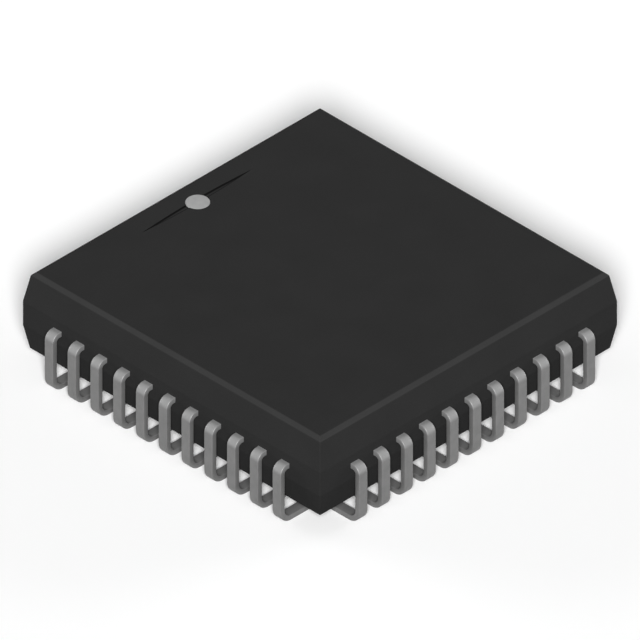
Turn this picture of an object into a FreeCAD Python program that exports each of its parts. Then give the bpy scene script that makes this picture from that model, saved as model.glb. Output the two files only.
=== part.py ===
import FreeCAD, Part
import math
import operator
import os

import Sketcher

# A 44-lead plastic leaded chip carrier that holds a crosspoint switch chip. Lengths are millimetres and
# angles are degrees. The origin is the middle of the footprint on the seating plane, +Z is up, and +Y
# points to the side that carries lead one. Seen from above, the leads are numbered anticlockwise.

DRIVING = [
    ("body_width", 16.58, "width of the moulding at its upright band"),
    ("standoff", 0.912, "seating plane to the underside of the moulding"),
    ("lower_height", 1.134, "drafted part below the band"),
    ("band_height", 1.131, "upright band"),
    ("upper_height", 1.394, "drafted part above the band"),
    ("draft_angle", 10.0, "draft of both mould halves"),
    ("top_chamfer", 0.15, "broken edge round the top face"),
    ("overall_width", 17.56, "across the outer faces of opposite leads"),
    ("leads_a_side", 11, "leads on each side"),
    ("lead_pitch", 1.27, "spacing of the leads along a side"),
    ("lead_width", 0.46, "width of a lead"),
    ("strip_thickness", 0.25, "thickness of the leadframe strip"),
    ("lead_plane", 2.65, "seating plane to the middle of the strip"),
    ("shoulder_radius", 0.39, "outer radius of the bend at the top of a lead"),
    ("foot_radius", 0.60, "outer radius of the bend at the bottom of a lead"),
    ("foot_end", 7.25, "middle of the package to the inner end of the flat foot"),
    ("tip_radius", 0.40, "outer radius of the bend that turns the tip up"),
    ("tip_angle", 80.0, "how far the tip turns up"),
    ("tip_length", 0.62, "straight end of the tip"),
    ("bend_flats", 4, "flats that make up the shoulder bend and the foot bend"),
    ("tip_flats", 2, "flats that make up the bend under the moulding"),
    ("root_length", 0.90, "straight stub of a finger inside the wall"),
    ("finger_width", 0.30, "width of a finger at its inner end"),
    ("finger_pitch", 0.62, "spacing of the fingers round the paddle"),
    ("finger_start", 4.05, "middle of the package to the inner end of a finger"),
    ("paddle_width", 6.60, "square paddle that carries the chip"),
    ("paddle_downset", 0.25, "how far the paddle lies below the fingers"),
    ("tie_bar_width", 0.40, "width of a tie bar"),
    ("tie_bar_slope", 0.60, "length over which a tie bar steps down"),
    ("tie_bar_overlap", 0.70, "how far a tie bar runs in from the paddle's corner"),
    ("tie_bar_cover", 1.10, "moulding left between a tie bar and the package's corner"),
    ("die_width", 4.80, "side of the square chip"),
    ("die_height", 0.38, "thickness of the chip"),
    ("attach_height", 0.03, "thickness of the adhesive"),
    ("attach_margin", 0.10, "adhesive squeezed out past each side of the chip"),
    ("wire_width", 0.033, "thickness of a bond wire"),
    ("wire_rise", 0.20, "height of a wire's loop above the chip"),
    ("wire_foot", 0.10, "flattened end of a wire on its finger"),
    ("wire_landing", 0.22, "inner end of a finger to the end of its wire"),
    ("pad_pitch", 0.38, "spacing of the pads along an edge of the chip"),
    ("pad_inset", 0.12, "edge of the chip to the middle of a pad"),
    ("dot_radius", 0.515, "radius of the pin-one dimple"),
    ("dot_depth", 0.05, "depth of the dimple, which the ink fills"),
    ("dot_offset", 6.82, "middle of the package to the middle of the dimple"),
    ("groove_length", 6.16, "length of the shallow lens-shaped groove"),
    ("groove_width", 0.25, "greatest width of the groove"),
    ("groove_depth", 0.04, "depth of the groove"),
    ("groove_offset", 6.87, "middle of the package to the middle of the groove"),
    ("nest_clearance", 0.08, "room round a lead's tip in its nest"),
    ("nest_depth", 0.36, "depth of a nest under the moulding"),
    ("mark_radius", 0.75, "radius of an ejector mark"),
    ("mark_depth", 0.06, "depth of an ejector mark"),
    ("mark_offset", 4.60, "middle of the package to an ejector mark, along X and along Y"),
]

SIDES = 4
QUARTER_TURN = 360 / SIDES
MOST_FILES = 60
START, END, MIDDLE = 1, 2, 3
ORIGIN_POINT = (-1, 1)

OPERATIONS = {
    "+": operator.add,
    "-": operator.sub,
    "*": operator.mul,
    "/": operator.truediv,
}


class Size:
    """A number together with the formula that ties it to the sheet of driving dimensions."""

    def __init__(self, number, formula):
        self.number = number
        self.formula = formula

    def joined(self, sign, other):
        if not isinstance(other, Size):
            other = Size(other, str(other))
        number = OPERATIONS[sign](self.number, other.number)
        return Size(number, f"({self.formula} {sign} {other.formula})")

    def __add__(self, other):
        return self.joined("+", other)

    def __sub__(self, other):
        return self.joined("-", other)

    def __mul__(self, other):
        return self.joined("*", other)

    def __truediv__(self, other):
        return self.joined("/", other)


NOUGHT = Size(0, "0")
STRAIGHT_DOWN = Size(-90, "-90")


def write_sheet(doc):
    """Put the driving dimensions in a sheet, one row each, with their names as aliases."""
    sheet = doc.addObject("Spreadsheet::Sheet", "sizes")
    for row, (name, number, meaning) in enumerate(DRIVING, start=1):
        sheet.set(f"A{row}", name)
        sheet.set(f"B{row}", str(number))
        sheet.set(f"C{row}", meaning)
        sheet.setAlias(f"B{row}", name)
    doc.recompute()
    return {name: Size(float(sheet.get(name)), f"sizes.{name}") for name, _, _ in DRIVING}


doc = FreeCAD.newDocument("crosspoint_switch_chip")
size = write_sheet(doc)

# Levels and distances that several pieces share.
wall = size["body_width"] / 2
reach = size["overall_width"] / 2
band_bottom = size["standoff"] + size["lower_height"]
band_top = band_bottom + size["band_height"]
body_top = band_top + size["upper_height"]
strip_half = size["strip_thickness"] / 2
lead_half = size["lead_width"] / 2
strip_top = size["lead_plane"] + strip_half
strip_bottom = size["lead_plane"] - strip_half
paddle_plane = size["lead_plane"] - size["paddle_downset"]
paddle_top = paddle_plane + strip_half
attach_top = paddle_top + size["attach_height"]
die_top = attach_top + size["die_height"]
leads_a_side = round(size["leads_a_side"].number)
bend_flats = round(size["bend_flats"].number)
tip_flats = round(size["tip_flats"].number)
places_a_side = [(leads_a_side - 1) / 2 - order for order in range(leads_a_side)]


def cosine(angle):
    return Size(math.cos(math.radians(angle.number)), f"cos({angle.formula})")


def sine(angle):
    return Size(math.sin(math.radians(angle.number)), f"sin({angle.formula})")


def vector(across, up):
    return FreeCAD.Vector(across, up, 0)


def origin_plane(body, role):
    return next(item for item in body.Origin.OriginFeatures if item.Role == role)


def new_body(name):
    body = doc.addObject("PartDesign::Body", name)
    body.Label = name
    return body


def new_sketch(body, name, role, level=None):
    """A sketch on one of the body's own origin planes, raised to a level if one is given."""
    sketch = body.newObject("Sketcher::SketchObject", name)
    sketch.AttachmentSupport = [(origin_plane(body, role), "")]
    sketch.MapMode = "FlatFace"
    if level is not None:
        sketch.AttachmentOffset = FreeCAD.Placement(
            FreeCAD.Vector(0, 0, level.number), FreeCAD.Rotation()
        )
        sketch.setExpression("AttachmentOffset.Base.z", level.formula)
    return sketch


def tie(sketch, name, kind, *places, to):
    """Add a dimension to a sketch and bind it to the sheet."""
    index = sketch.addConstraint(Sketcher.Constraint(kind, *places, to.number))
    sketch.renameConstraint(index, name)
    sketch.setExpression(f"Constraints.{name}", to.formula)


def relate(sketch, kind, *places):
    sketch.addConstraint(Sketcher.Constraint(kind, *places))


def polygon(sketch, corners):
    """A closed outline whose corners are each held at an across and an up distance from the origin."""
    ends = [vector(across.number, up.number) for across, up in corners]
    sides = [
        sketch.addGeometry(Part.LineSegment(here, there), False)
        for here, there in zip(ends, ends[1:] + ends[:1])
    ]
    for side, following in zip(sides, sides[1:] + sides[:1]):
        relate(sketch, "Coincident", side, END, following, START)
    for number, (side, (across, up)) in enumerate(zip(sides, corners)):
        tie(sketch, f"across_{number}", "DistanceX", *ORIGIN_POINT, side, START, to=across)
        tie(sketch, f"up_{number}", "DistanceY", *ORIGIN_POINT, side, START, to=up)


def rectangle(sketch, left, right, low, high):
    polygon(sketch, [(left, low), (right, low), (right, high), (left, high)])


def centred_square(sketch, width):
    half = width / 2
    rectangle(sketch, half * -1, half, half * -1, half)


def circle(sketch, radius, across, up):
    place = vector(across.number, up.number)
    ring = sketch.addGeometry(Part.Circle(place, FreeCAD.Vector(0, 0, 1), radius.number), False)
    tie(sketch, "radius", "Radius", ring, to=radius)
    tie(sketch, "across", "DistanceX", *ORIGIN_POINT, ring, MIDDLE, to=across)
    tie(sketch, "up", "DistanceY", *ORIGIN_POINT, ring, MIDDLE, to=up)


def pad(body, name, sketch, length, symmetric=False, downward=False, taper=None):
    feature = body.newObject("PartDesign::Pad", name)
    feature.Profile = sketch
    feature.Reversed = downward
    if symmetric:
        feature.SideType = "Symmetric"
    feature.setExpression("Length", length.formula)
    if taper is not None:
        feature.setExpression("TaperAngle", (taper * -1).formula)
    return feature


def pocket(body, name, sketch, depth, upward=False):
    feature = body.newObject("PartDesign::Pocket", name)
    feature.Profile = sketch
    feature.Reversed = upward
    feature.setExpression("Length", depth.formula)
    return feature


def polar_pattern(body, name, originals):
    pattern = body.newObject("PartDesign::PolarPattern", name)
    pattern.Originals = originals
    pattern.Axis = (origin_plane(body, "Z_Axis"), [""])
    pattern.Angle = 360
    pattern.Occurrences = SIDES
    body.Tip = pattern
    return pattern


def lens(sketch, length, width, offset):
    """A lens along the first axis: two shallow arcs that meet in a point at each end."""
    half_length = length.number / 2
    half_width = width.number / 2
    left = vector(-half_length, offset.number)
    right = vector(half_length, offset.number)
    far = vector(0, offset.number + half_width)
    near = vector(0, offset.number - half_width)
    far_side = sketch.addGeometry(Part.Arc(right, far, left), False)
    near_side = sketch.addGeometry(Part.Arc(left, near, right), False)
    radius = (length * length + width * width) / (width * 4)
    relate(sketch, "Coincident", far_side, END, near_side, START)
    relate(sketch, "Coincident", near_side, END, far_side, START)
    tie(sketch, "far_radius", "Radius", far_side, to=radius)
    tie(sketch, "near_radius", "Radius", near_side, to=radius)
    tie(sketch, "left_across", "DistanceX", *ORIGIN_POINT, near_side, START, to=length / -2)
    tie(sketch, "left_up", "DistanceY", *ORIGIN_POINT, near_side, START, to=offset)
    tie(sketch, "right_across", "DistanceX", *ORIGIN_POINT, near_side, END, to=length / 2)
    tie(sketch, "right_up", "DistanceY", *ORIGIN_POINT, near_side, END, to=offset)


# The moulding. Its two halves are drafted away from an upright band, as the two halves of the mould
# leave it, and its corners are sharp.


def mould_halves(body):
    band = new_sketch(body, "band_outline", "XY_Plane", band_bottom)
    centred_square(band, size["body_width"])
    pad(body, "band", band, size["band_height"])

    lower = new_sketch(body, "lower_outline", "XY_Plane", band_bottom)
    centred_square(lower, size["body_width"])
    pad(body, "lower_half", lower, size["lower_height"], downward=True, taper=size["draft_angle"])

    upper = new_sketch(body, "upper_outline", "XY_Plane", band_top)
    centred_square(upper, size["body_width"])
    return pad(body, "upper_half", upper, size["upper_height"], taper=size["draft_angle"])


def break_top_edge(body, solid):
    """Chamfer the four edges of the top face."""
    doc.recompute()
    faces = solid.Shape.Faces
    top = max(range(len(faces)), key=lambda index: faces[index].CenterOfMass.z)
    chamfer = body.newObject("PartDesign::Chamfer", "top_edge")
    chamfer.Base = (solid, [f"Face{top + 1}"])
    chamfer.setExpression("Size", size["top_chamfer"].formula)


def pin_one_mark(body):
    """The round dimple on the pin-one side, and the shallow groove that runs through it."""
    dimple = new_sketch(body, "dimple_outline", "XY_Plane", body_top)
    circle(dimple, size["dot_radius"], NOUGHT, size["dot_offset"])
    pocket(body, "dimple", dimple, size["dot_depth"])

    groove = new_sketch(body, "groove_outline", "XY_Plane", body_top)
    lens(groove, size["groove_length"], size["groove_width"], size["groove_offset"])
    pocket(body, "groove", groove, size["groove_depth"])


def ejector_marks(body):
    """Four round marks that the mould's ejector pins leave in the underside."""
    outline = new_sketch(body, "mark_outline", "XY_Plane", size["standoff"])
    circle(outline, size["mark_radius"], size["mark_offset"], size["mark_offset"])
    mark = pocket(body, "mark", outline, size["mark_depth"], upward=True)
    polar_pattern(body, "marks", [mark])


def tip_nests(body):
    """A blind nest in the underside for the upturned tip of each lead."""
    tip_end = size["foot_end"] - size["tip_radius"]
    clear = size["nest_clearance"]
    half = lead_half + clear
    first = size["lead_pitch"] * ((1 - leads_a_side) / 2)
    outline = new_sketch(body, "nest_outline", "XY_Plane", size["standoff"])
    rectangle(
        outline,
        first - half,
        first + half,
        tip_end - clear,
        size["foot_end"] + clear,
    )
    nest = pocket(body, "nest", outline, size["nest_depth"], upward=True)

    row = body.newObject("PartDesign::LinearPattern", "nest_row")
    row.Direction = (outline, ["H_Axis"])
    row.Occurrences = leads_a_side
    row.setExpression("Length", (size["lead_pitch"] * (leads_a_side - 1)).formula)
    ring = body.newObject("PartDesign::PolarPattern", "nest_ring")
    ring.Axis = (origin_plane(body, "Z_Axis"), [""])
    ring.Angle = 360
    ring.Occurrences = SIDES
    nests = body.newObject("PartDesign::MultiTransform", "nests")
    nests.Originals = [nest]
    nests.Transformations = [row, ring]
    body.Tip = nests


def mould_blank():
    body = new_body("mould_blank")
    upper = mould_halves(body)
    break_top_edge(body, upper)
    pin_one_mark(body)
    ejector_marks(body)
    tip_nests(body)
    return body


# The leads. Each is a strip bent into a J outside the moulding, with a flat finger inside it. All have
# the same J. A bend is a few equal flats, because 44 leads of round bends would need too many facets.


def bend_corners(middle, radius, first, turn, flats):
    """The corners of the flats that follow a bend, from its first heading through its turn."""
    across, up = middle
    headings = [turn * (step / flats) + first for step in range(flats + 1)]
    return [
        (across + radius * cosine(heading), up + radius * sine(heading)) for heading in headings
    ]


def strip_face(inset):
    """The corners of one face of the bent strip, from the wall of the moulding to the end of the tip."""
    shoulder = size["shoulder_radius"]
    foot = size["foot_radius"]
    tip = size["tip_radius"]
    down = STRAIGHT_DOWN
    shoulder_middle = (reach - shoulder, strip_top - shoulder)
    foot_middle = (reach - foot, foot)
    tip_middle = (size["foot_end"], tip)
    turn_up = size["tip_angle"] * -1
    shoulder_bend = bend_corners(
        shoulder_middle, shoulder - inset, NOUGHT - down, down, bend_flats
    )
    foot_bend = bend_corners(foot_middle, foot - inset, NOUGHT, down, bend_flats)
    tip_bend = bend_corners(tip_middle, tip - inset, down, turn_up, tip_flats)
    across, up = tip_bend[-1]
    length = size["tip_length"]
    tip_end = (across - length * cosine(size["tip_angle"]), up + length * sine(size["tip_angle"]))
    return [(wall, strip_top - inset)] + shoulder_bend + foot_bend + tip_bend + [tip_end]


def j_blank():
    """The part of a lead outside the moulding, which every lead starts from."""
    body = new_body("j_blank")
    sketch = new_sketch(body, "j_profile", "YZ_Plane")
    outer = strip_face(NOUGHT)
    inner = strip_face(size["strip_thickness"])
    polygon(sketch, outer + inner[::-1])
    pad(body, "j_bend", sketch, size["lead_width"], symmetric=True)
    return body


def finger_plan(body, place):
    """The plan of a finger: a straight stub, and a run that slants in to the paddle."""
    sketch = new_sketch(body, "finger_plan", "XY_Plane", size["lead_plane"])
    stub = wall - size["root_length"]
    shift = (size["finger_pitch"] - size["lead_pitch"]) * place
    tip_half = size["finger_width"] / 2
    polygon(
        sketch,
        [
            (lead_half * -1, wall),
            (lead_half * -1, stub),
            (shift - tip_half, size["finger_start"]),
            (shift + tip_half, size["finger_start"]),
            (lead_half, stub),
            (lead_half, wall),
        ],
    )
    return sketch


def lead(number, side, place, blank):
    """One lead, at a place counted along its side from the middle of that side."""
    body = new_body(f"lead_{number:02d}")
    body.BaseFeature = blank
    pad(body, "finger", finger_plan(body, place), size["strip_thickness"], symmetric=True)
    turn = side * QUARTER_TURN
    along = size["lead_pitch"] * place
    across = round(math.cos(math.radians(turn)))
    up = round(math.sin(math.radians(turn)))
    body.Placement = FreeCAD.Placement(
        vector(along.number * across, along.number * up),
        FreeCAD.Rotation(FreeCAD.Vector(0, 0, 1), turn),
    )
    body.setExpression("Placement.Base.x", (along * across).formula)
    body.setExpression("Placement.Base.y", (along * up).formula)
    return body


def all_leads():
    """Side 0 faces +Y and holds lead one at its middle, and the numbers run anticlockwise."""
    total = SIDES * leads_a_side
    blank = j_blank()
    made = []
    for side in range(SIDES):
        for order, place in enumerate(places_a_side):
            number = (side * leads_a_side + order - leads_a_side // 2) % total + 1
            made.append(lead(number, side, place, blank))
    return made


# The chip and what carries it.


def die_paddle():
    """The square paddle with a tie bar at each corner that steps up to the level of the fingers."""
    body = new_body("die_paddle")
    outline = new_sketch(body, "paddle_outline", "XY_Plane", paddle_plane)
    centred_square(outline, size["paddle_width"])
    pad(body, "paddle", outline, size["strip_thickness"], symmetric=True)

    diagonal = math.sqrt(2)
    corner = size["paddle_width"] * (diagonal / 2)
    bar_end = size["body_width"] * (diagonal / 2) - size["tie_bar_cover"]
    bar_start = corner - size["tie_bar_overlap"]
    step = corner + size["tie_bar_slope"]
    profile = new_sketch(body, "tie_bar_profile", "XZ_Plane")
    profile.AttachmentOffset = FreeCAD.Placement(
        FreeCAD.Vector(), FreeCAD.Rotation(FreeCAD.Vector(0, 1, 0), QUARTER_TURN / 2)
    )
    polygon(
        profile,
        [
            (bar_start, paddle_plane - strip_half),
            (corner, paddle_plane - strip_half),
            (step, strip_bottom),
            (bar_end, strip_bottom),
            (bar_end, strip_top),
            (step, strip_top),
            (corner, paddle_top),
            (bar_start, paddle_top),
        ],
    )
    bar = pad(body, "tie_bar", profile, size["tie_bar_width"], symmetric=True)
    polar_pattern(body, "tie_bars", [bar])
    return body


def square_block(name, width, height, level):
    """A plain block with a square plan, centred on the package."""
    block = doc.addObject("Part::Box", name)
    block.Label = name
    block.setExpression("Length", width.formula)
    block.setExpression("Width", width.formula)
    block.setExpression("Height", height.formula)
    block.setExpression("Placement.Base.x", (width / -2).formula)
    block.setExpression("Placement.Base.y", (width / -2).formula)
    block.setExpression("Placement.Base.z", level.formula)
    return block


def die_attach():
    width = size["die_width"] + size["attach_margin"] * 2
    return square_block("die_attach", width, size["attach_height"], paddle_top)


def silicon_die():
    return square_block("silicon_die", size["die_width"], size["die_height"], attach_top)


def pin_one_dot():
    """The ink that fills the dimple flush with the top of the moulding."""
    dot = doc.addObject("Part::Cylinder", "pin_one_dot")
    dot.Label = "pin_one_dot"
    dot.setExpression("Radius", size["dot_radius"].formula)
    dot.setExpression("Height", size["dot_depth"].formula)
    dot.setExpression("Placement.Base.y", size["dot_offset"].formula)
    dot.setExpression("Placement.Base.z", (body_top - size["dot_depth"]).formula)
    return dot


def bond_wire(pad_place, finger_place, turn):
    """A wire that stands on a pad, rises, slopes down and ends flat on its finger."""
    run = finger_place - pad_place
    heading = run / run.Length
    sideways = FreeCAD.Vector(-heading.y, heading.x, 0)
    width = size["wire_width"].number
    foot = run.Length - size["wire_foot"].number
    landing = strip_top.number
    loop = die_top.number + size["wire_rise"].number
    corners = [
        (-width / 2, die_top.number),
        (-width / 2, loop),
        (run.Length, landing + width),
        (run.Length, landing),
        (foot, landing),
        (width / 2, loop - width),
        (width / 2, die_top.number),
    ]
    ends = [
        pad_place + heading * along + FreeCAD.Vector(0, 0, level) - sideways * (width / 2)
        for along, level in corners
    ]
    outline = Part.makePolygon(ends + ends[:1])
    wire = Part.Face(outline).extrude(sideways * width)
    wire.rotate(FreeCAD.Vector(), FreeCAD.Vector(0, 0, 1), turn)
    return wire


def bond_wires():
    """Every wire is one separate solid of this group."""
    edge = size["die_width"].number / 2 - size["pad_inset"].number
    finger = size["finger_start"].number + size["wire_landing"].number
    wires = []
    for side in range(SIDES):
        for place in places_a_side:
            pad_place = vector(place * size["pad_pitch"].number, edge)
            finger_place = vector(place * size["finger_pitch"].number, finger)
            wires.append(bond_wire(pad_place, finger_place, side * QUARTER_TURN))
    group = doc.addObject("Part::Feature", "bond_wires")
    group.Label = "bond_wires"
    group.Shape = Part.makeCompound(wires)
    group.Placement = FreeCAD.Placement()
    return group


def mould_body(blank, inside):
    """The moulding is cast round the metal, the chip and its wires, so their shapes are cut from it."""
    filling = doc.addObject("Part::MultiFuse", "filling")
    filling.Shapes = inside
    body = doc.addObject("Part::Cut", "mould_body")
    body.Label = "mould_body"
    body.Base = blank
    body.Tool = filling
    return body


def check(objects):
    """Stop if anything in the document failed or if a piece isn't sound."""
    for item in doc.Objects:
        if "Invalid" in item.State or "Error" in item.State:
            raise RuntimeError(f"{item.Label} failed: {item.State}")
    for item in objects:
        if item.Shape.isNull() or not item.Shape.isValid() or not item.Shape.Solids:
            raise RuntimeError(f"{item.Label} is not a sound solid")


inside = all_leads() + [die_paddle(), die_attach(), silicon_die(), bond_wires()]
pieces = [mould_body(mould_blank(), inside), pin_one_dot()] + inside
doc.recompute()
check(pieces)
if len(pieces) > MOST_FILES:
    raise RuntimeError("too many pieces for the folder")

os.makedirs("parts", exist_ok=True)
for piece in pieces:
    piece.Shape.exportStep(f"parts/{piece.Label}.step")
    print(f"{piece.Label}: {len(piece.Shape.Solids)} solids, {piece.Shape.Volume:.4f} mm3")
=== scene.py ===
# %% [markdown]
# This lesson dresses a small surface-mount chip: a square black moulding with eleven J-shaped leads on
# each side. The frame brings the exact solids, one for each real piece. We work in metres around them.

# %% Load the frame
import math

import bmesh
import bpy
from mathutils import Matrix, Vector


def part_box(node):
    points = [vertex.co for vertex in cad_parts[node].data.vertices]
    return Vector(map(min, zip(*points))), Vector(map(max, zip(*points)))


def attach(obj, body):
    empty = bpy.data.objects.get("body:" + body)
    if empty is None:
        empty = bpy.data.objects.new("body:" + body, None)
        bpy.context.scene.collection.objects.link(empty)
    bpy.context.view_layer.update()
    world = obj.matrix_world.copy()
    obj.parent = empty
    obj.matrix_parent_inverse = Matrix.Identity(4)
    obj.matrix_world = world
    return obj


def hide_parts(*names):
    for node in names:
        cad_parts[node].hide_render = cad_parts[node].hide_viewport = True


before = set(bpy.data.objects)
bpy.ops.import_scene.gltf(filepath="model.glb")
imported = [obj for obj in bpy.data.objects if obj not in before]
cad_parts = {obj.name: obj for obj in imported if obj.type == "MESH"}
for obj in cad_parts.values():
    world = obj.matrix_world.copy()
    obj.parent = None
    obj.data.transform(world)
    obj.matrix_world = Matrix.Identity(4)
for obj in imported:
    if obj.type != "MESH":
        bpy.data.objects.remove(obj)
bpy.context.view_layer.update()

# %% [markdown]
# A chip is measured in millimetres, so one name turns them into metres. The lead and the moulding are
# read from the frame's own boxes. Only what a box can't tell, such as a bend radius, is written here.

# %% Sizes
MM = 0.001
SIDES = 4
LEADS_A_SIDE = 11
LEAD_PITCH = 1.27 * MM
FINGER_PITCH = 0.62 * MM
FINGER_WIDTH = 0.30 * MM
STRIP_THICKNESS = 0.25 * MM
SHOULDER_RADIUS = 0.39 * MM
FOOT_RADIUS = 0.60 * MM
TIP_RADIUS = 0.40 * MM
TIP_TURN = math.radians(80)
TIP_LENGTH = 0.62 * MM
FOOT_END = 7.25 * MM
ROOT_LENGTH = 0.90 * MM

mould_low, mould_high = (Vector(corner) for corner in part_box("mould_body"))
lead_low, lead_high = (Vector(corner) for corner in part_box("lead_01"))
dot_low, dot_high = (Vector(corner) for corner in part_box("pin_one_dot"))
wall = mould_high.y
reach = lead_high.y
lead_width = lead_high.x - lead_low.x
strip_middle = lead_high.z - STRIP_THICKNESS / 2
body_top = mould_high.z
underside = mould_low.z
print("lead:", lead_width / MM, "mm wide, reach", reach / MM, "mm, top", body_top / MM, "mm")

# %% [markdown]
# Materials come next. Helpers keep each finish short: one makes a material with its main shader, one
# adds a node to it, and one joins two sockets. Patterns read Object coordinates, so they stay on the
# piece. A mask is a number worked out from those coordinates and put through a soft step, and it blends
# a second shade in. The Mix node has a set of sockets for each kind of data, so its colour sockets go by
# number.

# %% Material helpers
COLOR_A, COLOR_B, COLOR_RESULT = 6, 7, 2


def new_material(name, color, roughness, metallic=0.0, specular=0.5):
    """A material whose uniform values sit on the shader itself."""
    material = bpy.data.materials.new(name)
    material.use_nodes = True
    shader = material.node_tree.nodes["Principled BSDF"]
    shader.inputs["Base Color"].default_value = (*color, 1.0)
    shader.inputs["Roughness"].default_value = roughness
    shader.inputs["Metallic"].default_value = metallic
    shader.inputs["Specular IOR Level"].default_value = specular
    return material, shader


def add_node(owner, kind, **settings):
    """Add a node to the tree of a material, or of the world."""
    node = owner.node_tree.nodes.new(kind)
    for name, value in settings.items():
        setattr(node, name, value)
    return node


def join(owner, start, end):
    owner.node_tree.links.new(start, end)


def grain(material, per_mm, detail=2.0, stretch=(1.0, 1.0, 1.0)):
    """Noise on Object coordinates, with its frequency given per millimetre."""
    place = add_node(material, "ShaderNodeTexCoord")
    mapping = add_node(material, "ShaderNodeMapping")
    mapping.inputs["Scale"].default_value = stretch
    noise = add_node(material, "ShaderNodeTexNoise")
    noise.inputs["Scale"].default_value = per_mm / MM
    noise.inputs["Detail"].default_value = detail
    join(material, place.outputs["Object"], mapping.inputs["Vector"])
    join(material, mapping.outputs["Vector"], noise.inputs["Vector"])
    return noise.outputs["Fac"]


def tinted(material, shader, pattern, dark, light, low=0.35, high=0.65):
    """Let a pattern move the base colour between two near shades."""
    ramp = add_node(material, "ShaderNodeValToRGB")
    ramp.color_ramp.elements[0].position = low
    ramp.color_ramp.elements[1].position = high
    ramp.color_ramp.elements[0].color = (*dark, 1.0)
    ramp.color_ramp.elements[1].color = (*light, 1.0)
    join(material, pattern, ramp.inputs["Fac"])
    join(material, ramp.outputs["Color"], shader.inputs["Base Color"])


def roughened(material, shader, pattern, low, high):
    """Let a pattern move the roughness between two values."""
    spread = add_node(material, "ShaderNodeMapRange")
    spread.inputs["To Min"].default_value = low
    spread.inputs["To Max"].default_value = high
    join(material, pattern, spread.inputs["Value"])
    join(material, spread.outputs["Result"], shader.inputs["Roughness"])


def bumped(material, shader, pattern, height, strength=1.0):
    """Raise a pattern by a real height, in metres."""
    bump = add_node(material, "ShaderNodeBump")
    bump.inputs["Distance"].default_value = height
    bump.inputs["Strength"].default_value = strength
    join(material, pattern, bump.inputs["Height"])
    join(material, bump.outputs["Normal"], shader.inputs["Normal"])


def object_axes(material):
    """The X, Y and Z of the Object coordinates, as three sockets."""
    place = add_node(material, "ShaderNodeTexCoord")
    split = add_node(material, "ShaderNodeSeparateXYZ")
    join(material, place.outputs["Object"], split.inputs["Vector"])
    return split.outputs


def worked_out(material, operation, *terms):
    """One step of arithmetic on sockets and plain numbers."""
    step = add_node(material, "ShaderNodeMath", operation=operation)
    for slot, term in zip(step.inputs, terms):
        if isinstance(term, float):
            slot.default_value = term
        else:
            join(material, term, slot)
    return step.outputs["Value"]


def soft_step(material, value, nought_at, one_at):
    """Turn a value into a mask with a soft step between two of its levels."""
    step = add_node(material, "ShaderNodeMapRange", interpolation_type="SMOOTHSTEP")
    step.inputs["From Min"].default_value = nought_at
    step.inputs["From Max"].default_value = one_at
    join(material, value, step.inputs["Value"])
    return step.outputs["Result"]


def blended(material, shader, mask, color):
    """Blend the patterned base colour towards another one where the mask is one."""
    base = shader.inputs["Base Color"]
    mix = add_node(material, "ShaderNodeMix", data_type="RGBA")
    mix.inputs[COLOR_B].default_value = (*color, 1.0)
    join(material, base.links[0].from_socket, mix.inputs[COLOR_A])
    join(material, mask, mix.inputs["Factor"])
    join(material, mix.outputs[COLOR_RESULT], base)


def grey(level):
    return (level, level, level)


print("helpers ready")

# %% [markdown]
# Moulding compound is epoxy filled with crushed silica. The mould is spark-eroded, so the chip comes out a
# flat near-black with a fine even grain and hardly any gloss. Three sizes of noise make it: slow clouds in
# the shade, the eroded grain in the bump, and a finer speck in the roughness. The chamfer round the top is
# painted a shade paler, a painted highlight for the light that it catches.
#
# The groove through the pin-one dimple is a lens of two shallow arcs. Its two rims are painted dark, a
# painted shade for the shade that falls in the groove, and its floor stays plain. The distance in from the
# rims makes the mask: half the lens's width at this length, less the distance from its middle line. Arcs
# this shallow are as good as parabolas.

# %% Moulding compound
MOULD_SHADE = 0.0262
# A painted highlight: the chamfer's paler shade stands in for the light that it catches.
PAINTED_CHAMFER_HIGHLIGHT = 0.034
# A painted shade: the darker shade along the groove's rims stands in for the shade in the groove.
PAINTED_GROOVE_SHADE = 0.008
GROOVE_LENGTH = 6.16 * MM
GROOVE_WIDTH = 0.25 * MM
GROOVE_OFFSET = 6.87 * MM
RIM_WIDTH = 0.055 * MM
RIM_FADE = 0.03 * MM


def moulding_compound(name, shade):
    """The compound with the grain the eroded mould leaves, in a given shade, which for the chamfer is a
    painted highlight.
    """
    material, shader = new_material(name, grey(shade), 0.62, specular=0.006)
    clouds = grain(material, 0.45, detail=3.0)
    tinted(material, shader, clouds, grey(shade * 0.97), grey(shade * 1.035))
    roughened(material, shader, grain(material, 30.0), 0.54, 0.72)
    bumped(material, shader, grain(material, 9.0, detail=4.0), 0.012 * MM)
    return material


def inside_rims(material):
    """How far in from the rims of the groove a point of its floor lies, in metres."""
    axes = object_axes(material)
    along = worked_out(material, "MULTIPLY", axes["X"], 2 / GROOVE_LENGTH)
    narrowing = worked_out(material, "MULTIPLY", along, along)
    half_width = worked_out(material, "MULTIPLY_ADD", narrowing, -GROOVE_WIDTH / 2, GROOVE_WIDTH / 2)
    sideways = worked_out(material, "SUBTRACT", axes["Y"], GROOVE_OFFSET)
    return worked_out(material, "SUBTRACT", half_width, worked_out(material, "ABSOLUTE", sideways))


def groove_painted_shade_compound():
    """The compound in the groove, with painted shade along both rims."""
    material = moulding_compound("painted_shade_groove_epoxy", MOULD_SHADE)
    shader = material.node_tree.nodes["Principled BSDF"]
    # Painted shade: the rims of the groove are darkened.
    painted_shade_mask = soft_step(material, inside_rims(material), RIM_WIDTH + RIM_FADE, RIM_WIDTH)
    blended(material, shader, painted_shade_mask, grey(PAINTED_GROOVE_SHADE))
    return material


compound = moulding_compound("eroded_epoxy", MOULD_SHADE)
# The chamfer's compound, painted paler as a painted highlight.
chamfer_highlight_compound = moulding_compound("painted_highlight_epoxy", PAINTED_CHAMFER_HIGHLIGHT)
# The groove's compound, with painted shade along its rims.
groove_shaded_compound = groove_painted_shade_compound()
print("materials:", compound.name, chamfer_highlight_compound.name, groove_shaded_compound.name)
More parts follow.
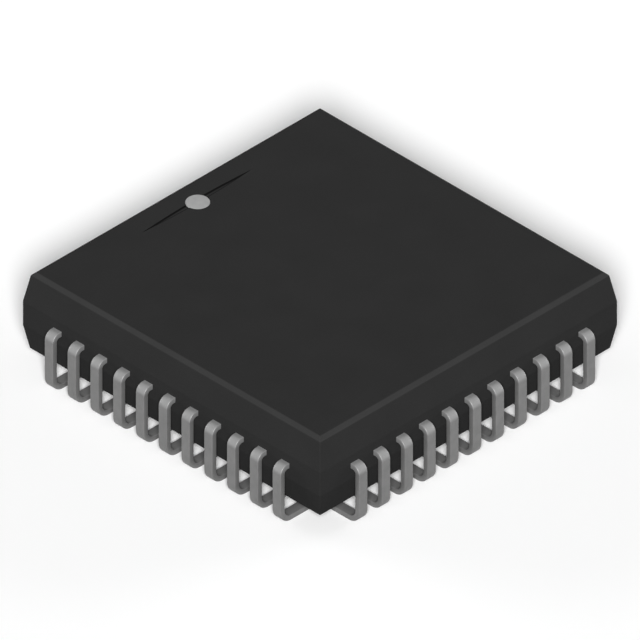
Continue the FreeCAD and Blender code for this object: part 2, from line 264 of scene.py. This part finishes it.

# %% [markdown]
# The leads are copper alloy plated with matte tin. Tin is a soft grey metal, but its plated crystals
# scatter most of the light, so the finish is a matte grey with a quarter of metal in it and a middling
# roughness. The grain is finer than a hair. From the start of the shoulders upwards the tin is painted
# paler, a painted highlight for the light that the upturned bends catch.

# %% Matte tin
HIGHLIGHT_FADE = 0.18 * MM
# A painted highlight on the shoulders.
PAINTED_SHOULDER_HIGHLIGHT = 0.235


def matte_tin():
    material, shader = new_material("matte_tin", grey(0.167), 0.43, metallic=0.25, specular=0.42)
    tinted(
        material, shader, grain(material, 2.2, detail=4.0), (0.157, 0.157, 0.156), (0.178, 0.177, 0.176)
    )
    roughened(material, shader, grain(material, 45.0), 0.38, 0.5)
    shoulder_start = lead_high.z - SHOULDER_RADIUS
    height = object_axes(material)["Z"]
    # From the shoulder's start upwards the tin is painted paler, a painted highlight.
    shoulder_highlight_mask = soft_step(material, height, shoulder_start, shoulder_start + HIGHLIGHT_FADE)
    blended(material, shader, shoulder_highlight_mask, grey(PAINTED_SHOULDER_HIGHLIGHT))
    bumped(material, shader, grain(material, 28.0, detail=3.0), 0.0012 * MM)
    return material


tin = matte_tin()
print("material:", tin.name)

# %% [markdown]
# The pin-one dot is pale ink dabbed into a dimple. Ink dries a little uneven, so its shade drifts and
# its surface has a soft orange-peel bump.

# %% Marking ink


def marking_ink():
    material, shader = new_material("pale_ink", grey(0.32), 0.5, specular=0.15)
    tinted(material, shader, grain(material, 3.5, detail=3.0), (0.305, 0.306, 0.307), (0.335, 0.335, 0.333))
    bumped(material, shader, grain(material, 6.0), 0.004 * MM)
    return material


ink = marking_ink()
print("material:", ink.name)

# %% [markdown]
# The pieces sealed inside are never seen, but each still gets its own real finish: copper for the
# paddle, silver paste under the chip, dark polished silicon and drawn gold wire. A table names them.

# %% Finishes of the sealed pieces


def leadframe_copper():
    material, shader = new_material("leadframe_copper", (0.72, 0.41, 0.27), 0.35, metallic=1.0)
    rolled = grain(material, 6.0, detail=3.0, stretch=(0.1, 1.0, 1.0))
    tinted(material, shader, rolled, (0.66, 0.37, 0.24), (0.76, 0.45, 0.3))
    bumped(material, shader, rolled, 0.001 * MM)
    return material


def silver_adhesive():
    material, shader = new_material("silver_adhesive", grey(0.6), 0.55, metallic=0.6)
    flakes = grain(material, 20.0, detail=4.0)
    tinted(material, shader, flakes, (0.5, 0.49, 0.47), (0.7, 0.69, 0.66))
    bumped(material, shader, flakes, 0.003 * MM)
    return material


def patterned_silicon():
    material, shader = new_material("patterned_silicon", (0.14, 0.15, 0.2), 0.15, metallic=0.7)
    blocks = add_node(material, "ShaderNodeTexVoronoi", distance="CHEBYCHEV")
    place = add_node(material, "ShaderNodeTexCoord")
    blocks.inputs["Scale"].default_value = 1.6 / MM
    join(material, place.outputs["Object"], blocks.inputs["Vector"])
    tinted(material, shader, blocks.outputs["Distance"], (0.1, 0.11, 0.17), (0.22, 0.2, 0.24), 0.1, 0.5)
    return material


def drawn_gold():
    material, shader = new_material("drawn_gold", (0.9, 0.62, 0.22), 0.25, metallic=1.0)
    roughened(material, shader, grain(material, 30.0), 0.2, 0.32)
    return material


SEALED_FINISHES = {
    "die_paddle": leadframe_copper,
    "die_attach": silver_adhesive,
    "silicon_die": patterned_silicon,
    "bond_wires": drawn_gold,
}


def finish_node(node, material):
    """Give a carried-over solid its finish."""
    node.data.materials.clear()
    node.data.materials.append(material)


for node_name, make_finish in SEALED_FINISHES.items():
    finish_node(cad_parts[node_name], make_finish())
print("finished:", ", ".join(SEALED_FINISHES))

# %% [markdown]
# Now the moulding. Its solid is exact, but every edge on it is a razor, and a moulded edge never is.
# A bevel on a copy softens the edges. It must leave the slots round the leads alone, so we weight only
# the edges whose two faces both lie on the outside skin. First the loose triangles are welded and
# flat regions are joined into single faces, or the bevel would follow lines that aren't real edges.

# %% Copy and weld the moulding
WELD = 0.00005 * MM
FLAT_ANGLE = math.radians(0.3)
SKIN_TOLERANCE = 0.002 * MM
CORNER_SOFTENING = 0.03 * MM
SOFTENING_STEPS = 3


def welded_copy(node_name):
    """A mesh like the node's, with shared corners and with flat regions as single faces."""
    mesh = bmesh.new()
    mesh.from_mesh(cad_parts[node_name].data)
    bmesh.ops.remove_doubles(mesh, verts=mesh.verts, dist=WELD)
    bmesh.ops.dissolve_limit(
        mesh, angle_limit=FLAT_ANGLE, verts=mesh.verts, edges=mesh.edges, delimit={"NORMAL"}
    )
    return mesh


mould_mesh = welded_copy("mould_body")
open_edges = sum(not edge.is_manifold for edge in mould_mesh.edges)
print("moulding:", len(mould_mesh.faces), "faces,", open_edges, "open edges")

# %% [markdown]
# The outside skin is told from the slots by height: at each height the drafted sides have one half
# width, and a side face has its middle at that half width. The top and the underside are skin as well.
# The outline never comes in by more than six hundredths of the half width, so narrower levels are slots.

# %% Weight the outside edges
EDGE_ANGLE = math.radians(5)
SHARP_ANGLE = math.radians(20)
INNERMOST_SKIN = 0.94
SIDEWAYS = 0.6
SIDES_SLACK = 3


def skin_levels(mesh):
    """Pairs of height and half width where the outline of the moulding turns."""
    widest = {}
    for vert in mesh.verts:
        level = round(vert.co.z / MM, 3)
        widest[level] = max(widest.get(level, 0), abs(vert.co.x), abs(vert.co.y))
    outline = []
    for level in sorted(widest):
        half = widest[level]
        if half > mould_high.x * INNERMOST_SKIN:
            outline.append((level * MM, half))
    return outline


def half_width_at(outline, height):
    for (low, low_half), (high, high_half) in zip(outline, outline[1:]):
        if low - SKIN_TOLERANCE <= height <= high + SKIN_TOLERANCE:
            share = (height - low) / (high - low)
            return low_half + (high_half - low_half) * min(max(share, 0), 1)
    return outline[-1][1]


def on_skin(face, outline):
    """True if the face is part of a side, the top or the underside."""
    heights = [vert.co.z for vert in face.verts]
    if min(heights) > body_top - SKIN_TOLERANCE or max(heights) < underside + SKIN_TOLERANCE:
        return True
    middle = face.calc_center_median()
    outward = max(abs(face.normal.x), abs(face.normal.y))
    distance = max(abs(middle.x), abs(middle.y))
    off_skin = abs(distance - half_width_at(outline, middle.z))
    return outward > SIDEWAYS and off_skin < SKIN_TOLERANCE * SIDES_SLACK


def weight_outside_edges(mesh):
    """Weight the outside edges for the bevel, and mark the other sharp ones as sharp."""
    weights = mesh.edges.layers.float.new("bevel_weight_edge")
    mesh.normal_update()
    outline = skin_levels(mesh)
    skin = {face for face in mesh.faces if on_skin(face, outline)}
    for face in mesh.faces:
        face.smooth = True
    for edge in mesh.edges:
        angle = edge.calc_face_angle(0)
        if skin.issuperset(edge.link_faces) and angle > EDGE_ANGLE:
            edge[weights] = 1.0
        elif angle > SHARP_ANGLE:
            edge.smooth = False
    return sum(edge[weights] > 0 for edge in mesh.edges)


print("weighted edges:", weight_outside_edges(mould_mesh))

# %% [markdown]
# The welded mesh becomes the visible moulding. The Bevel modifier reads the weights. Normals weighted by
# area then keep the big faces flat while the narrow strips between them turn smoothly. The result is
# written back as a plain mesh, so nothing is left live on the piece.

# %% Soften the moulding


def piece_from(mesh, name, material):
    """Turn a working mesh into an object at the origin."""
    data = bpy.data.meshes.new(name)
    mesh.to_mesh(data)
    mesh.free()
    piece = bpy.data.objects.new(name, data)
    bpy.context.scene.collection.objects.link(piece)
    data.materials.clear()
    data.materials.append(material)
    return piece


def baked(piece):
    """Replace a piece's mesh with what its modifiers make of it, and remove them."""
    evaluated = piece.evaluated_get(bpy.context.evaluated_depsgraph_get())
    plain = bpy.data.meshes.new_from_object(evaluated)
    piece.modifiers.clear()
    piece.data = plain
    return piece


def keep_faces_flat(piece):
    normals = piece.modifiers.new("flat_faces", "WEIGHTED_NORMAL")
    normals.keep_sharp = True
    normals.weight = 100


def soften(piece, width, segments):
    bevel = piece.modifiers.new("soft_edges", "BEVEL")
    bevel.limit_method = "WEIGHT"
    bevel.width = width
    bevel.segments = segments
    bevel.use_clamp_overlap = False
    keep_faces_flat(piece)
    return baked(piece)


moulding = soften(piece_from(mould_mesh, "moulding", compound), CORNER_SOFTENING, SOFTENING_STEPS)
print("moulding:", len(moulding.data.polygons), "faces")

# %% [markdown]
# Two small areas of the moulding take painted light: a painted shade along the rims of the groove and a
# painted highlight on the chamfer. Each is told by a test on its faces: the groove lies just below the top
# in one narrow strip, and the chamfer slopes halfway between the top and the sides.

# %% Painted shade in the groove, painted highlight on the chamfer
GROOVE_REACH = 0.16 * MM
GROOVE_DEPTH = 0.045 * MM
CHAMFER_DROP = 0.16 * MM
CHAMFER_FLATTEST = 0.9
CHAMFER_STEEPEST = 0.5


def in_groove(face):
    below = body_top - face.center.z
    return SKIN_TOLERANCE < below < GROOVE_DEPTH and abs(face.center.y - GROOVE_OFFSET) < GROOVE_REACH


def on_chamfer(face):
    below = body_top - face.center.z
    return below < CHAMFER_DROP and CHAMFER_STEEPEST < face.normal.z < CHAMFER_FLATTEST


def finish_faces(piece, belongs, material):
    """Give the faces that pass a test another finish, and count them."""
    piece.data.materials.append(material)
    chosen = [face for face in piece.data.polygons if belongs(face)]
    for face in chosen:
        face.material_index = len(piece.data.materials) - 1
    return len(chosen)


# Painted shade along the rims of the groove.
print("groove:", finish_faces(moulding, in_groove, groove_shaded_compound), "faces")
# Painted highlight on the chamfer.
print("chamfer:", finish_faces(moulding, on_chamfer, chamfer_highlight_compound), "faces")

# %% [markdown]
# Each lead is a flat strip bent three times. The path of its middle line is a few straight runs with a
# bend radius at each corner, stored on the points as an attribute. The corner of a bend lies where the
# straight runs would meet, so the tip's corner is found with a little trigonometry.

# %% Path of a lead


def lead_path():
    """Corners of the strip's middle line, each with the radius of its bend."""
    half = STRIP_THICKNESS / 2
    leg = reach - half
    tip_bend = TIP_RADIUS - half
    run_in = tip_bend * math.tan(TIP_TURN / 2)
    tip_corner = Vector((0, FOOT_END - run_in, half))
    heading = Vector((0, -math.cos(TIP_TURN), math.sin(TIP_TURN)))
    return [
        (Vector((0, lead_low.y, strip_middle)), 0),
        (Vector((0, wall - ROOT_LENGTH, strip_middle)), 0),
        (Vector((0, leg, strip_middle)), SHOULDER_RADIUS - half),
        (Vector((0, leg, half)), FOOT_RADIUS - half),
        (tip_corner, tip_bend),
        (tip_corner + heading * (run_in + TIP_LENGTH), 0),
    ]


def path_object(name, corners):
    """A chain of edges whose points carry their bend radius."""
    data = bpy.data.meshes.new(name)
    edges = [(start, start + 1) for start in range(len(corners) - 1)]
    data.from_pydata([place for place, _ in corners], edges, [])
    bends = data.attributes.new("bend_radius", "FLOAT", "POINT")
    bends.data.foreach_set("value", [radius for _, radius in corners])
    path = bpy.data.objects.new(name, data)
    bpy.context.scene.collection.objects.link(path)
    return path


leads = path_object("tinned_leads", lead_path())
print("path corners:", len(leads.data.vertices))

# %% [markdown]
# The leads repeat, so Geometry Nodes make them. A small builder keeps the tree readable: it adds a
# node, sets its plain inputs and joins the ones that are sockets. The tree has named inputs, so the
# same tree could dress a chip with another pitch or another number of leads.

# %% Tree builder


class Tree:
    """A Geometry Nodes tree with named inputs."""

    def __init__(self, name):
        self.group = bpy.data.node_groups.new(name, "GeometryNodeTree")
        self.group.interface.new_socket("Geometry", in_out="INPUT", socket_type="NodeSocketGeometry")
        self.group.interface.new_socket("Geometry", in_out="OUTPUT", socket_type="NodeSocketGeometry")
        self.start = self.group.nodes.new("NodeGroupInput")
        self.end = self.group.nodes.new("NodeGroupOutput")
        self.identifiers = {}

    def input(self, name, kind):
        socket = self.group.interface.new_socket(name, in_out="INPUT", socket_type=f"NodeSocket{kind}")
        self.identifiers[name] = socket.identifier
        return self.start.outputs[name]

    def fill(self, socket, value):
        if isinstance(value, bpy.types.NodeSocket):
            self.group.links.new(value, socket)
        else:
            socket.default_value = value

    def add(self, kind, inputs=(), output=0, **settings):
        """Add a node, fill its inputs by name or number, and return one of its outputs."""
        node = self.group.nodes.new(kind)
        for name, value in settings.items():
            setattr(node, name, value)
        for key, value in dict(inputs).items():
            self.fill(node.inputs[key], value)
        return node.outputs[output]

    def math(self, operation, first, second=0.0):
        return self.add("ShaderNodeMath", {0: first, 1: second}, operation=operation)

    def finish(self, geometry):
        self.group.links.new(geometry, self.end.inputs[0])


print("tree builder ready")

# %% [markdown]
# The tree rounds the path's corners, sweeps a rectangle with eased edges along it, and sets eleven of
# them in a row. Inside the moulding the fingers fan in to the chip: each point past the root slides
# sideways by an amount that grows with its depth and with its lead's place in the row. The tips turn in
# under the moulding too, but they lie below the strip's own plane, so a test on height leaves them be.
# Four turned copies of the row finish the ring.

# %% Lead tree
BEND_STEPS = 9
EDGE_STEPS = 3
EDGE_EASING = 0.03 * MM


def swept_strip(tree, width, thickness, easing):
    """One lead, swept along the path with its bends rounded."""
    radius = tree.add("GeometryNodeInputNamedAttribute", {"Name": "bend_radius"}, data_type="FLOAT")
    path = tree.add("GeometryNodeMeshToCurve", {"Mesh": tree.start.outputs["Geometry"]})
    path = tree.add(
        "GeometryNodeFilletCurve",
        {"Curve": path, "Count": BEND_STEPS, "Radius": radius},
        mode="POLY",
    )
    section = tree.add("GeometryNodeCurvePrimitiveQuadrilateral", {"Width": width, "Height": thickness})
    section = tree.add(
        "GeometryNodeFilletCurve",
        {"Curve": section, "Count": EDGE_STEPS, "Radius": easing},
        mode="POLY",
    )
    strip = tree.add(
        "GeometryNodeCurveToMesh", {"Curve": path, "Profile Curve": section, "Fill Caps": True}
    )
    return tree.add("GeometryNodeMergeByDistance", {"Geometry": strip, "Distance": WELD})


def row_of(tree, strip, count, pitch):
    """Instances in a row along X, each carrying its place counted from the middle."""
    half = tree.math("DIVIDE", tree.math("SUBTRACT", count, 1.0), 2.0)
    place = tree.math("SUBTRACT", tree.add("GeometryNodeInputIndex"), half)
    points = tree.add("GeometryNodePoints", {"Count": count})
    points = tree.add(
        "GeometryNodeStoreNamedAttribute",
        {"Geometry": points, "Name": "place", "Value": place},
        data_type="FLOAT",
        domain="POINT",
    )
    spot = tree.add("ShaderNodeCombineXYZ", {"X": tree.math("MULTIPLY", place, pitch)})
    points = tree.add("GeometryNodeSetPosition", {"Geometry": points, "Position": spot})
    row = tree.add("GeometryNodeInstanceOnPoints", {"Points": points, "Instance": strip})
    return tree.add("GeometryNodeRealizeInstances", {"Geometry": row})


def fanned(tree, row, sizes):
    """Slide and narrow the fingers, which lie inside the moulding in the strip's own plane."""
    place = tree.add("GeometryNodeInputNamedAttribute", {"Name": "place"}, data_type="FLOAT")
    position = tree.add("GeometryNodeInputPosition")
    across = tree.add("ShaderNodeSeparateXYZ", {0: position}, output=0)
    depth = tree.add("ShaderNodeSeparateXYZ", {0: position}, output=1)
    height = tree.add("ShaderNodeSeparateXYZ", {0: position}, output=2)
    inward = tree.math("SUBTRACT", sizes["root"], depth)
    travel = tree.math("SUBTRACT", sizes["root"], sizes["finger start"])
    share = tree.math("DIVIDE", inward, travel)
    share = tree.add("ShaderNodeClamp", {"Value": share})
    in_plane = tree.math("GREATER_THAN", height, strip_middle - STRIP_THICKNESS)
    share = tree.math("MULTIPLY", share, in_plane)
    slide = tree.math("MULTIPLY", place, tree.math("SUBTRACT", sizes["finger pitch"], sizes["pitch"]))
    local = tree.math("SUBTRACT", across, tree.math("MULTIPLY", place, sizes["pitch"]))
    ratio = tree.math("SUBTRACT", tree.math("DIVIDE", sizes["finger width"], sizes["width"]), 1.0)
    narrowing = tree.math("MULTIPLY", local, ratio)
    offset = tree.math("MULTIPLY", tree.math("ADD", slide, narrowing), share)
    offset = tree.add("ShaderNodeCombineXYZ", {"X": offset})
    return tree.add("GeometryNodeSetPosition", {"Geometry": row, "Offset": offset})


def ring_of(tree, row, sides):
    """Turned copies of the row, one for each side of the package."""
    points = tree.add("GeometryNodePoints", {"Count": sides})
    turn = tree.math("DIVIDE", tree.add("GeometryNodeInputIndex"), sides)
    turn = tree.math("MULTIPLY", turn, 2 * math.pi)
    euler = tree.add("ShaderNodeCombineXYZ", {"Z": turn})
    rotation = tree.add("FunctionNodeEulerToRotation", {"Euler": euler})
    ring = tree.add(
        "GeometryNodeInstanceOnPoints", {"Points": points, "Instance": row, "Rotation": rotation}
    )
    return tree.add("GeometryNodeRealizeInstances", {"Geometry": ring})


LEAD_INPUTS = {
    "width": ("Float", lead_width),
    "thickness": ("Float", STRIP_THICKNESS),
    "easing": ("Float", EDGE_EASING),
    "pitch": ("Float", LEAD_PITCH),
    "finger pitch": ("Float", FINGER_PITCH),
    "finger width": ("Float", FINGER_WIDTH),
    "finger start": ("Float", lead_low.y),
    "root": ("Float", wall - ROOT_LENGTH),
    "leads a side": ("Int", LEADS_A_SIDE),
    "sides": ("Int", SIDES),
    "finish": ("Material", tin),
}


def lead_tree():
    tree = Tree("lead_ring")
    sizes = {name: tree.input(name, kind) for name, (kind, _) in LEAD_INPUTS.items()}
    strip = swept_strip(tree, sizes["width"], sizes["thickness"], sizes["easing"])
    row = row_of(tree, strip, sizes["leads a side"], sizes["pitch"])
    ring = ring_of(tree, fanned(tree, row, sizes), sizes["sides"])
    tree.finish(tree.add("GeometryNodeSetMaterial", {"Geometry": ring, "Material": sizes["finish"]}))
    return tree


def run_tree(piece, tree, values):
    """Put the tree on a piece, set its inputs by identifier, and keep the plain mesh it makes."""
    modifier = piece.modifiers.new(tree.group.name, "NODES")
    modifier.node_group = tree.group
    for name, (_, value) in values.items():
        modifier[tree.identifiers[name]] = value
    return baked(piece)


def face_outwards(piece):
    """Turn the faces of each closed shell outwards."""
    mesh = bmesh.new()
    mesh.from_mesh(piece.data)
    bmesh.ops.recalc_face_normals(mesh, faces=mesh.faces)
    mesh.to_mesh(piece.data)
    mesh.free()


run_tree(leads, lead_tree(), LEAD_INPUTS)
face_outwards(leads)
print("leads:", len(leads.data.polygons), "faces")

# %% [markdown]
# The ink dot is a shallow drop of paint. It dries level in the middle, rounds down at its rim and shrinks
# back from the dimple's wall, which leaves a fine dark ring round it. The rim ends just below the floor of
# the groove that crosses the dimple. A profile from middle to rim is spun round the dot's own axis.

# %% Ink dot
DOT_STEPS = 96
RIM_STEPS = 8
SHRINKAGE = 0.018 * MM
RIM_WIDTH = 0.025 * MM
RIM_DROP = 0.038 * MM
INK_SINK = 0.004 * MM


def ink_profile(radius):
    """Distances from the axis and heights, from the middle over the rim and back underneath."""
    top = dot_high.z - INK_SINK
    flat = radius - RIM_WIDTH
    profile = [(0, top)]
    for step in range(RIM_STEPS + 1):
        angle = math.pi / 2 * step / RIM_STEPS
        profile.append((flat + RIM_WIDTH * math.sin(angle), top - RIM_DROP * (1 - math.cos(angle))))
    return profile + [(radius, dot_low.z), (0, dot_low.z)]


def ink_dot():
    middle = (dot_low + dot_high) / 2
    profile = ink_profile((dot_high.x - dot_low.x) / 2 - SHRINKAGE)
    mesh = bmesh.new()
    verts = [mesh.verts.new((middle.x + r, middle.y, z)) for r, z in profile]
    edges = [mesh.edges.new(pair) for pair in zip(verts, verts[1:])]
    bmesh.ops.spin(
        mesh,
        geom=verts + edges,
        cent=(middle.x, middle.y, 0),
        axis=(0, 0, 1),
        angle=2 * math.pi,
        steps=DOT_STEPS,
        use_merge=True,
    )
    bmesh.ops.remove_doubles(mesh, verts=mesh.verts, dist=WELD)
    bmesh.ops.recalc_face_normals(mesh, faces=mesh.faces)
    return piece_from(mesh, "ink_dot", ink)


dot = ink_dot()
print("dot:", len(dot.data.polygons), "faces")

# %% [markdown]
# Round bends want smooth shading and flat faces want none. An edge stays sharp only where its two faces
# turn by more than the limit, and the same area weighting keeps the flats of the leads flat.

# %% Shading
SMOOTH_LIMIT = math.radians(35)

for piece in (leads, dot):
    piece.data.shade_smooth()
    piece.data.set_sharp_from_angle(angle=SMOOTH_LIMIT)
    keep_faces_flat(piece)
    baked(piece)
print("shaded:", leads.name, dot.name)

# %% [markdown]
# Every piece is parented to the body that it rides on and keeps its own finish, and the solid that it
# replaces is hidden. This chip has one rigid body, so all of them ride on the root.

# %% Tie the pieces to the frame
lead_names = [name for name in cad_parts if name.startswith("lead_")]

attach(moulding, "root")
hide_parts("mould_body")

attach(leads, "root")
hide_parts(*sorted(lead_names))

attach(dot, "root")
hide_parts("pin_one_dot")
print("leads replaced:", len(lead_names))

# %% [markdown]
# The floor is plain and pale. The camera and reflections see it nearly white, while the light that it
# throws back under the chip is held down, so that the drafted underside keeps its shade.

# %% Floor
FLOOR_HALF = 0.3
FLOOR_UNDER_CHIP = 0.09


def seen_directly(owner):
    """One for a ray from the camera, a mirror or glass, and nought for scattered light."""
    rays = add_node(owner, "ShaderNodeLightPath")
    highest = rays.outputs["Is Camera Ray"]
    for name in ("Is Glossy Ray", "Is Transmission Ray"):
        step = add_node(owner, "ShaderNodeMath", operation="MAXIMUM")
        join(owner, highest, step.inputs[0])
        join(owner, rays.outputs[name], step.inputs[1])
        highest = step.outputs[0]
    return highest


def pale_floor():
    material, shader = new_material("pale_floor", grey(0.9), 0.9, specular=0.0)
    mix = add_node(material, "ShaderNodeMix", data_type="RGBA")
    mix.inputs[COLOR_A].default_value = (*grey(FLOOR_UNDER_CHIP), 1)
    mix.inputs[COLOR_B].default_value = (*grey(1), 1)
    join(material, seen_directly(material), mix.inputs["Factor"])
    join(material, mix.outputs[COLOR_RESULT], shader.inputs["Base Color"])
    return material


def make_floor():
    mesh = bmesh.new()
    corners = ((-1, -1), (1, -1), (1, 1), (-1, 1))
    mesh.faces.new([mesh.verts.new((x * FLOOR_HALF, y * FLOOR_HALF, 0)) for x, y in corners])
    return piece_from(mesh, "floor", pale_floor())


make_floor()
print("floor:", 2 * FLOOR_HALF, "m square")

# %% [markdown]
# The light is plain and soft. A pale world lights every side, and the camera and reflections see it
# white. A broad lamp near the camera's own direction shades each face by how far it turns away, as the
# drawing does, with its shadow hidden behind the chip. Two low, wider lamps light the far sides.

# %% World and lamps
WORLD_STRENGTH = 0.09
LAMP_DISTANCE = 0.25


def pale_world():
    world = bpy.data.worlds.new("pale_world")
    world.use_nodes = True
    background = world.node_tree.nodes["Background"]
    background.inputs["Color"].default_value = (*grey(1), 1)
    level = add_node(world, "ShaderNodeMapRange")
    level.inputs["To Min"].default_value = WORLD_STRENGTH
    level.inputs["To Max"].default_value = 1.0
    join(world, seen_directly(world), level.inputs["Value"])
    join(world, level.outputs["Result"], background.inputs["Strength"])
    bpy.context.scene.world = world


def soft_lamp(name, direction, strength, spread):
    """A sun from a direction. Its spread is the angle that it fills, which softens the shadow."""
    lamp = bpy.data.lights.new(name, "SUN")
    lamp.energy = strength
    lamp.angle = spread
    holder = bpy.data.objects.new(name, lamp)
    holder.location = Vector(direction).normalized() * LAMP_DISTANCE
    holder.rotation_euler = Vector(direction).to_track_quat("Z", "Y").to_euler()
    bpy.context.scene.collection.objects.link(holder)
    return holder


pale_world()
LAMPS = {
    "key": ((-1, -1, 0.93), 4.5, 14),
    "left_fill": ((-0.25, 1, 0.1), 1.8, 40),
    "right_fill": ((1, -0.25, 0.1), 1.8, 40),
}
for lamp_name, (direction, strength, degrees) in LAMPS.items():
    soft_lamp(lamp_name, direction, strength, math.radians(degrees))
print("lamps:", ", ".join(LAMPS))

# %% [markdown]
# The picture is a true isometric view, so the camera is orthographic. It looks down the cube's
# diagonal, and its scale comes from the lead pitch: 22.78 pixels of a 640 pixel frame across one pitch,
# which the view shortens by the cosine of 45 degrees.

# %% Camera
FRAME_PIXELS = 640
PIXELS_PER_PITCH = 22.782
CAMERA_DISTANCE = 0.12
LOOK_AT = Vector((0, 0, 2.264 * MM))


def isometric_camera():
    data = bpy.data.cameras.new("isometric")
    data.type = "ORTHO"
    pixels_per_metre = PIXELS_PER_PITCH / (LEAD_PITCH * math.cos(math.radians(45)))
    data.ortho_scale = FRAME_PIXELS / pixels_per_metre
    data.clip_start = 0.001
    data.clip_end = 2.0
    camera = bpy.data.objects.new("isometric", data)
    toward = Vector((-1, -1, 1)).normalized()
    camera.location = LOOK_AT + toward * CAMERA_DISTANCE
    camera.rotation_euler = toward.to_track_quat("Z", "Y").to_euler()
    bpy.context.scene.collection.objects.link(camera)
    bpy.context.scene.camera = camera
    return data.ortho_scale


bpy.context.scene.view_settings.view_transform = "Standard"
print("frame width:", isometric_camera() / MM, "mm")
